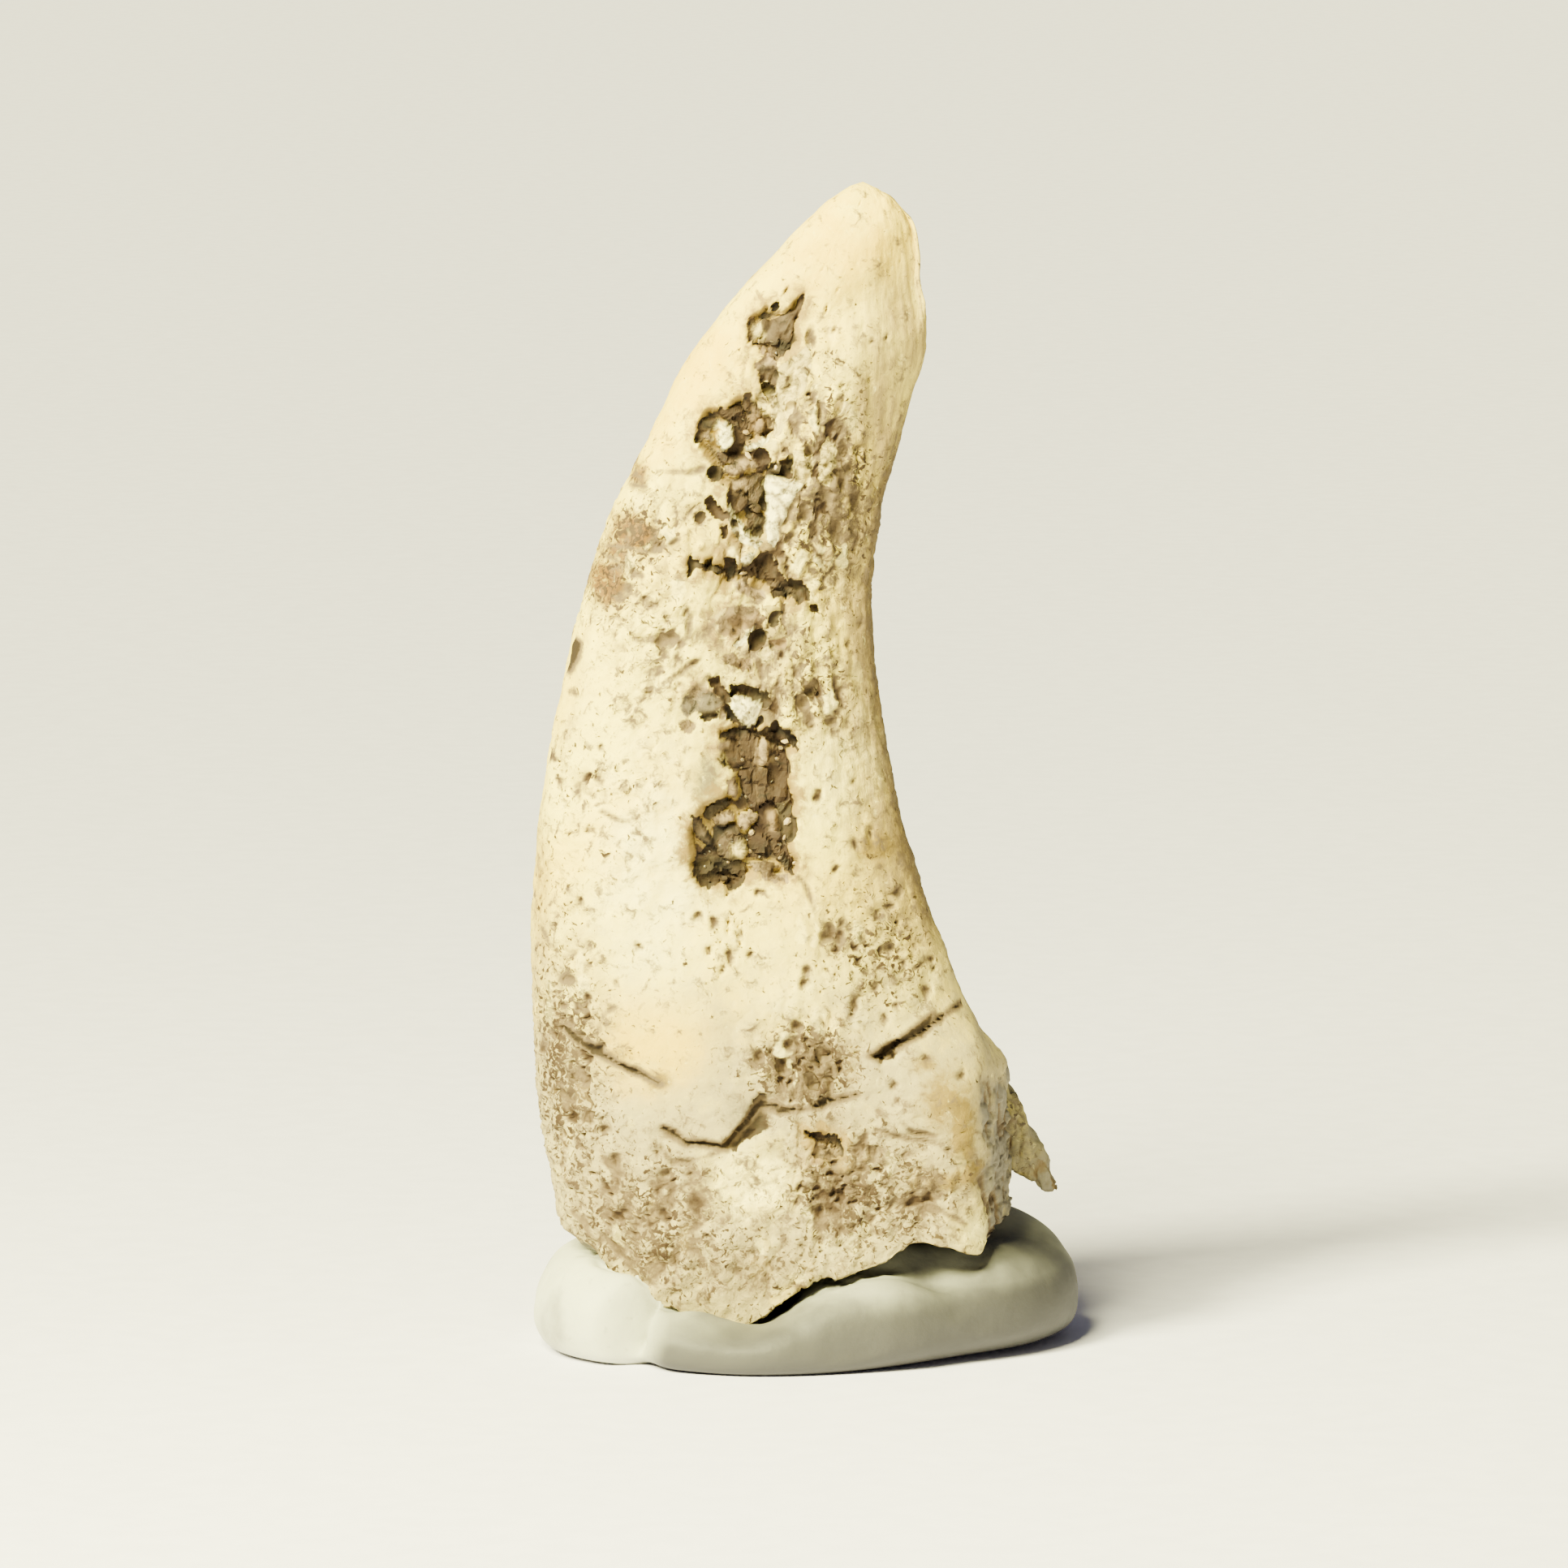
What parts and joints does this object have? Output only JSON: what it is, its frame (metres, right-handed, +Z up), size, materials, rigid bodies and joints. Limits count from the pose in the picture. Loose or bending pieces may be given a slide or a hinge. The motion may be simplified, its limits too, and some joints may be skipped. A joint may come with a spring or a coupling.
{
  "type": "fossil pterosaur claw",
  "caption": "Curved fossil claw bone, flattened from side to side, with a worn tip, weathered cavities and a broken base, standing upright in a wad of soft putty.",
  "frame": {"origin": "middle of the flat underside of the putty, on the table", "axes": "+Z up along the claw's height, +X towards the claw's hollow inner edge, to which the tip leans, +Y from the weathered side of the claw through to its plainer side, across its thickness"},
  "size_m": [0.017, 0.0108, 0.0361],
  "materials": {
    "fossil_bone": "cream fossil bone, matte, with ochre stains and brown mineral in its pores and cavities",
    "mounting_putty": "off-white mounting putty, soft and matte, pressed by hand"
  },
  "bodies": {
    "root": {"claw": "fossil_bone", "putty": "mounting_putty"}
  },
  "joints": []
}
